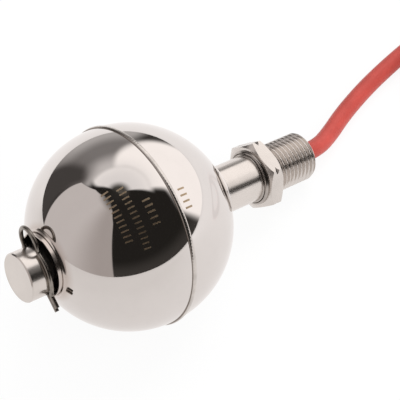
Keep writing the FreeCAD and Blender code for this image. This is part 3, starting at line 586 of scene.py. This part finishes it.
# Tones of what the steel mirrors, as bright as they stand there.
WALL_FOOT = (0.055, 0.050, 0.046)
WALL_TOP = (0.020, 0.018, 0.016)
CEILING_BY_BOX = (0.11, 0.10, 0.085)
CEILING_AWAY = (0.03, 0.028, 0.025)
GREY_TOP = (0.74, 0.71, 0.70)
GREY_MIDDLE = (0.26, 0.245, 0.24)
GREY_FOOT = (0.55, 0.53, 0.52)
GREY_CORNER = (0.17, 0.155, 0.15)
STAND_TONE = (0.075, 0.068, 0.065)
BRIGHT_LOW = (1.32, 1.27, 1.24)
BRIGHT_HIGH = (0.98, 0.95, 0.94)
LEFT_FAR = (0.71, 0.665, 0.65)
LEFT_NEAR = (0.49, 0.445, 0.425)
MATT_LIGHT = (0.62, 0.62, 0.62)
WHITE = (1.0, 1.0, 1.0)


def mirrored_studio(scene):
    """White to the camera, plain light for matt things, and soft boxes in a dark room for gloss."""
    scene.world = bpy.data.worlds.new("studio")
    sheet = Sheet(scene.world)
    way = sheet.node("ShaderNodeTexCoord", output="Generated")
    parts = [sheet.node("ShaderNodeSeparateXYZ", None, {0: way}, output=i) for i in range(3)]
    azimuth = parts[1].math("ARCTAN2", parts[0]) * math.degrees(1)
    height = parts[2].math("ARCSINE") * math.degrees(1)
    behind = azimuth + azimuth.rise(-0.01, 0.01, 360.0, 0.0)      # 0 to 360 degrees

    wall = sheet.mix(height.rise(18, 2), colour(WALL_TOP), colour(WALL_FOOT))
    ceiling = sheet.mix(abs(azimuth - 15).rise(40, 110), colour(CEILING_BY_BOX), colour(CEILING_AWAY))
    tone = sheet.mix(height.rise(76, 88), wall, ceiling)
    middle = sheet.mix(height.rise(34, 57), colour(GREY_MIDDLE), colour(GREY_TOP))
    middle = sheet.mix(height.rise(24, 3), middle, colour(GREY_FOOT))
    middle = sheet.mix(azimuth.rise(76, 106) * height.rise(62, 44), middle, colour(GREY_CORNER))
    bright = sheet.mix(height.rise(40, 76), colour(BRIGHT_LOW), colour(BRIGHT_HIGH))
    left = sheet.mix(behind.rise(164, 206), colour(LEFT_FAR), colour(LEFT_NEAR))
    for share, shade in (
            (soft_box(azimuth, height, GREY_WALL, 5.0), middle),
            (soft_box(azimuth, height, DARK_STAND, 6.0), colour(STAND_TONE)),
            (soft_box(azimuth, height, BRIGHT_BOX, 6.5), bright),
            (soft_box(azimuth, height, BRIGHT_WING, 5.5), bright),
            (soft_box(azimuth, height, BRIGHT_TOP, 4.5), bright),
            (soft_box(behind, height, LEFT_BOX, 0.8) * height.rise(80, 68), left)):
        tone = sheet.mix(share, tone, shade)

    shown = sheet.ray("Camera").math("MAXIMUM", sheet.ray("Transmission"))
    seen = sheet.mix(sheet.ray("Glossy"), sheet.mix(shown, colour(MATT_LIGHT), colour(WHITE)), tone)
    light = sheet.node("ShaderNodeBackground", None, {"Color": seen, "Strength": 1.0})
    sheet.node("ShaderNodeOutputWorld", None, {"Surface": light})


def soft_box(azimuth, height, corners, edge):
    """1 inside the convex outline and 0 outside it, with soft edges."""
    inside = None
    for (a0, h0), (a1, h1) in zip(corners, corners[1:] + corners[:1]):
        side = math.hypot(a1 - a0, h1 - h0)
        away = (height * ((a1 - a0) / side) - azimuth * ((h1 - h0) / side)
                - (h0 * (a1 - a0) - a0 * (h1 - h0)) / side)
        share = away.rise(-edge, edge)
        inside = share if inside is None else inside * share
    return inside


class SWITCH_OT_cable(bpy.types.Operator):
    """Red cable from the fitting to its put-away coil"""
    bl_idname = "switch.cable"
    bl_label = "Cable"

    def execute(self, context):
        settings = context.scene.switch_cable
        points = cable_route(settings)
        curve = bpy.data.curves.new("cable", "CURVE")
        curve.dimensions = "3D"
        curve.bevel_depth = settings.radius
        curve.bevel_resolution = 8
        curve.resolution_u = 8
        curve.use_fill_caps = True
        spline = curve.splines.new("NURBS")
        spline.points.add(len(points) - 1)
        for spot, point in zip(spline.points, points):
            spot.co = (*point, 1.0)
        spline.order_u = 3
        spline.use_endpoint_u = True
        cable = bpy.data.objects.new("cable", curve)
        context.collection.objects.link(cable)
        fit_piece(cable, "stem", "red_jacket", "red_jacket", "cable_jacket", "cable_coil")
        ends = [frame["nodes"][f"end_{kind}_{side}"]
                for kind in ("core", "tip") for side in ("lower", "upper")]
        for piece in (cable, *ends):
            piece.visible_glossy = False
        return {"FINISHED"}


# The free cable's route: after the first run, straight out of the fitting, each point's place on
# the floor from the point below the float's centre, and how far the cable is lifted there.
EXIT_RUN = 6.9 * MM
CABLE_ROUTE = (
    (65.8 * MM, 2.0 * MM, 0.3 * MM),
    (73.5 * MM, 5.0 * MM, 0.0),
    (83.5 * MM, 7.4 * MM, 0.0),
    (92.5 * MM, 8.75 * MM, 0.0),
)
COIL_ENTRY = (126.5 * MM, 8.0 * MM)
COIL_HEADING = math.radians(-4.0)
LEAD_IN = 20.0 * MM
LAST_RUN = 4.0 * MM

# Angles of the coil's changes, counted clockwise from where the cable enters, in degrees.
POINTS_PER_TURN = 24
LAST_ANGLE = 1636
STEP_WIDTH = 60
CLIMB = (960, 1020)
OUTER_STEP = (1315, 1375)


def cable_route(settings):
    base = settings.radius + settings.floor_gap
    exit_end = reach("cable_inner_end")[1]
    points = [STEM + AXIS * exit_end, STEM + AXIS * (exit_end + EXIT_RUN)]
    points += [Vector((BALL.x + x, BALL.y + y, base + lift)) for x, y, lift in CABLE_ROUTE]
    heading = Vector((math.cos(COIL_HEADING), math.sin(COIL_HEADING), 0))
    entry = Vector((BALL.x + COIL_ENTRY[0], BALL.y + COIL_ENTRY[1], base))
    points += [entry - heading * (LEAD_IN + LAST_RUN), entry - heading * LEAD_IN]
    points += coil_points(settings, entry, base)
    return points


def coil_points(settings, entry, base):
    """Nearly three flat turns inwards, then nearly two back outwards that rest on them."""
    pitch = 2 * settings.radius + 2 * settings.floor_gap
    middle = settings.coil_radius
    outer = middle + 2 * settings.radius
    centre = entry + Vector((math.sin(COIL_HEADING), -math.cos(COIL_HEADING), 0)) * outer

    def flat_radius(angle):
        return outer - 2 * settings.radius * sum(ease(angle, 360 * turn - STEP_WIDTH, 360 * turn)
                                                 for turn in (1, 2))

    def place(angle):
        if angle <= CLIMB[0]:
            return flat_radius(angle), base
        if angle < CLIMB[1]:
            roll = math.radians(180 - 60 * ease(angle, *CLIMB))
            return middle + pitch * math.cos(roll), base + pitch * math.sin(roll)
        radius = middle - settings.radius + 2 * settings.radius * ease(angle, *OUTER_STEP)
        below = [flat_radius(angle % 360 + 360 * turn) for turn in range(3)
                 if angle % 360 + 360 * turn <= CLIMB[0]]
        rests = [math.sqrt(pitch ** 2 - (r - radius) ** 2) for r in below if abs(r - radius) < pitch]
        return radius, base + max(rests, default=0)

    count = round(LAST_ANGLE / 360 * POINTS_PER_TURN)
    step = LAST_ANGLE / count
    inset = (3 + math.cos(math.radians(step))) / 4      # how far the spline cuts inside its points
    points = []
    for i in range(count + 1):
        radius, level = place(step * i)
        turn = math.pi / 2 + COIL_HEADING - math.radians(step * i)
        points.append(Vector((centre.x + radius / inset * math.cos(turn),
                              centre.y + radius / inset * math.sin(turn), level)))
    return points


def ease(angle, start, stop):
    """Goes smoothly from 0 to 1 between two angles."""
    share = min(max((angle - start) / (stop - start), 0), 1)
    return (1 - math.cos(math.pi * share)) / 2


class SWITCH_OT_float(bpy.types.Operator):
    """Two polished shells and the weld bead between them"""
    bl_idname = "switch.float"
    bl_label = "Float"

    def execute(self, context):
        settings = context.scene.switch_float
        place = stem_place(BALL)
        for node, side, fillet in (("float_lower_shell", -1, settings.clip_fillet),
                                   ("float_upper_shell", 1, settings.thread_fillet)):
            shell = float_shell(f"{node}_polished", side, settings.wall, fillet)
            finish_piece(shell, place)
            fit_piece(shell, "float", "polished_steel", "polished_steel", node)
        bead = seam_bead(settings)
        finish_piece(bead, place)
        fit_piece(bead, "float", "weld_steel", "weld_steel", "float_seam_bead")
        return {"FINISHED"}


SHELL_STEPS = 256
STEPS_PER_RIPPLE = 4
RIPPLE_LAG = 2.2                # how far a ripple trails at the bead's edges, as an angle
BEAD_OVERLAP = 0.1 * MM         # past the solid's width, and into the shells
BEAD_ROOT = 0.3 * MM


def float_shell(name, side, wall, fillet):
    """Pressed half of the ball: a hemisphere that is drawn out to a small lip round the sleeve."""
    _, end, _ = reach("float_upper_shell", BALL)
    low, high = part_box("float_sleeve")
    hole = (high.y - low.y) / 2 + SLIP_GAP
    lip = math.sqrt((BALL_RADIUS + fillet) ** 2 - end ** 2)
    tangent = math.degrees(math.atan2(lip, end))
    inner = BALL_RADIUS - wall
    outline = arc(0, 0, BALL_RADIUS, 90, tangent, 96)
    outline += arc(end, lip, fillet, 180 + tangent, 270, 10)[1:]
    outline += [(end, hole)]
    outline += arc(0, 0, inner, math.degrees(math.asin(hole / inner)), 90, 48)
    outline += [(0, BALL_RADIUS)]
    return turned(name, [(side * x, r) for x, r in outline], SHELL_STEPS)


def seam_bead(settings):
    """Crowned weld bead with a ripple for each pulse of the weld."""
    _, end, crown = reach("float_seam_bead", BALL)
    half = end + BEAD_OVERLAP
    foot = BALL_RADIUS - BEAD_OVERLAP
    steps = [i / 8 for i in range(-8, 9)]
    outline = [(half * i, foot + (crown - foot) * (1 - abs(i) ** 3) ** 0.6) for i in steps]
    outline += [(half, foot - BEAD_ROOT), (-half, foot - BEAD_ROOT), outline[0]]
    bead = turned("float_seam_bead_rippled", outline,
                  settings.bead_ripples * STEPS_PER_RIPPLE)
    for vertex in bead.data.vertices:
        x, y, z = vertex.co
        out = math.hypot(y, z)
        if out > foot + HAIR:
            lag = settings.bead_ripples * math.atan2(y, z) - RIPPLE_LAG * (x / half) ** 2
            share = 1 - settings.ripple_height / out * (1 - math.cos(lag)) / 2
            vertex.co = (x, y * share, z * share)
    return bead


class SWITCH_OT_fitting(bpy.types.Operator):
    """Hexagon fitting with its relief, bore and cut pipe thread, and its weld to the stem"""
    bl_idname = "switch.fitting"
    bl_label = "Threaded fitting"

    def execute(self, context):
        settings = context.scene.switch_fitting
        fitting = threaded_fitting(settings)
        finish_piece(fitting, stem_place(STEM))
        fit_piece(fitting, "stem", "satin_steel", "plated_fitting", "threaded_fitting")
        weld = stem_weld()
        finish_piece(weld, stem_place(STEM))
        fit_piece(weld, "stem", "weld_steel", "weld_steel", "fitting_weld")
        return {"FINISHED"}


HEX_TURN = math.radians(48.0)
FACE_SHARE = 0.97
SOCKET_DEPTH = 2.5 * MM
FITTING_STEPS = 168
RINGS_PER_PITCH = 24
CHAMFER_RINGS = 6
ABOVE_RELIEF = 0.1 * MM         # tells the thread's points from the relief's
WELD_STEPS = 128
WELD_SINK = 0.05 * MM           # how far the weld reaches into the stem
WELD_SHOULDER = 0.02 * MM       # how far it reaches into the hexagon


def threaded_fitting(settings):
    """Turned blank, with the hexagon cut by six flats and the thread cut by a formula."""
    start, end, corner = reach("threaded_fitting")
    flat = corner * math.cos(math.pi / 6)
    face = flat * FACE_SHARE
    bevel = (corner - face) * math.tan(math.pi / 6)
    socket = reach("stem_tube")[2] + SLIP_GAP
    seat = start + SOCKET_DEPTH
    hex_end = start + settings.hexagon
    thread_start = hex_end + settings.relief_width
    chamfer_start = end - settings.chamfer
    rings = round((chamfer_start - thread_start) / settings.pitch * RINGS_PER_PITCH)
    length = chamfer_start - thread_start
    middle = (start + hex_end) / 2
    outline = [(start, socket), (start, face), (start + bevel, corner), (middle - settings.nick, corner),
               (middle, corner - settings.nick), (middle + settings.nick, corner),
               (hex_end - bevel, corner), (hex_end, face), (hex_end, settings.relief),
               (thread_start, settings.relief)]
    outline += [(thread_start + length * i / rings, THREAD_RADIUS) for i in range(rings + 1)]
    outline += [(chamfer_start + settings.chamfer * i / CHAMFER_RINGS,
                 THREAD_RADIUS - settings.chamfer * i / CHAMFER_RINGS)
                for i in range(1, CHAMFER_RINGS + 1)]
    outline += [(end, settings.bore), (seat, settings.bore), (seat, socket), (start, socket)]
    piece = turned("threaded_fitting_cut", outline, FITTING_STEPS)
    cut_hexagon(piece, flat)
    cut_thread(piece, settings, thread_start)
    return piece


def stem_weld():
    """Two smooth runs of weld in the corner between the stem and the hexagon."""
    start, end, foot = reach("fitting_weld")
    stem = reach("stem_tube")[2]
    run = (end - start) / 2
    rise = foot - stem
    outline = [(start, stem - WELD_SINK), (start, stem)]
    outline += arc(start + run * 0.72, stem - 0.03 * MM, run * 0.72, 170, 40, 8)
    outline += arc(end - run * 0.10, stem + rise * 0.35, rise * 0.62, 165, 75, 8)
    shoulder = end + WELD_SHOULDER
    outline += [(shoulder, foot), (shoulder, stem - WELD_SINK), outline[0]]
    return turned("fitting_weld_runs", outline, WELD_STEPS)


def cut_hexagon(piece, flat):
    """Six flats, each cut by a plane beside the stem."""
    deselect()
    bpy.context.view_layer.objects.active = piece
    piece.select_set(True)
    bpy.ops.object.mode_set(mode="EDIT")
    for side in range(6):
        turn = HEX_TURN + math.radians(60 * side + 30)
        way = Vector((0, -math.sin(turn), math.cos(turn)))
        bpy.ops.mesh.select_all(action="SELECT")
        bpy.ops.mesh.bisect(plane_co=way * flat, plane_no=way, use_fill=True, clear_outer=True)
    bpy.ops.object.mode_set(mode="OBJECT")


def cut_thread(piece, settings, start):
    """Right-handed pipe thread with flat crests and roots, which fades in over its first turn."""
    for vertex in piece.data.vertices:
        x, y, z = vertex.co
        out = math.hypot(y, z)
        if out < settings.relief + ABOVE_RELIEF or x < start + HAIR:
            continue
        turns = (x - start) / settings.pitch - math.atan2(z, y) / (2 * math.pi)
        groove = 1 - abs(turns % 1 - 0.5) * 2
        depth = settings.thread_depth * min(max((groove - 1 / 6) * 1.5, 0), 1)
        depth *= 0.5 - 0.5 * math.cos(math.pi * min((x - start) / settings.pitch, 1))
        radius = min(out, THREAD_RADIUS - depth)
        vertex.co = (x, y * radius / out, z * radius / out)


class SWITCH_OT_finishes(bpy.types.Operator):
    """Materials, and the finish of each solid that is shown as it is"""
    bl_idname = "switch.finishes"
    bl_label = "Finishes"

    def execute(self, context):
        finishes = make_finishes()
        for subpart in frame["record"]["subparts"]:
            node = frame["nodes"][subpart["node"]]
            node.data.materials.clear()
            node.data.materials.append(finishes[subpart["material_slot"]])
        return {"FINISHED"}


# ---- panel and registration --------------------------------------------------------------------

OPERATORS = (SWITCH_OT_studio, SWITCH_OT_finishes, SWITCH_OT_cable, SWITCH_OT_float, SWITCH_OT_fitting)
SETTINGS = {
    "switch_float": FloatSettings,
    "switch_fitting": FittingSettings,
    "switch_cable": CableSettings,
    "switch_studio": StudioSettings,
}


class SWITCH_PT_sidebar(bpy.types.Panel):
    """Steps that finish the level switch"""
    bl_idname = "SWITCH_PT_sidebar"
    bl_label = "Level switch"
    bl_space_type = "VIEW_3D"
    bl_region_type = "UI"
    bl_category = "Level switch"

    def draw(self, context):
        for operator in OPERATORS:
            self.layout.operator(operator.bl_idname)
        for name, group in SETTINGS.items():
            box = self.layout.box()
            for field in group.__annotations__:
                box.prop(getattr(context.scene, name), field)


def register():
    for kind in (*SETTINGS.values(), *OPERATORS, SWITCH_PT_sidebar):
        bpy.utils.register_class(kind)
    for name, group in SETTINGS.items():
        setattr(bpy.types.Scene, name, bpy.props.PointerProperty(type=group))


def unregister():
    for name in SETTINGS:
        delattr(bpy.types.Scene, name)
    for kind in (SWITCH_PT_sidebar, *reversed(OPERATORS), *SETTINGS.values()):
        bpy.utils.unregister_class(kind)


def main():
    register()
    bpy.ops.switch.studio()
    bpy.ops.switch.finishes()
    bpy.ops.switch.cable()
    bpy.ops.switch.float()
    bpy.ops.switch.fitting()


if __name__ == "__main__":
    main()
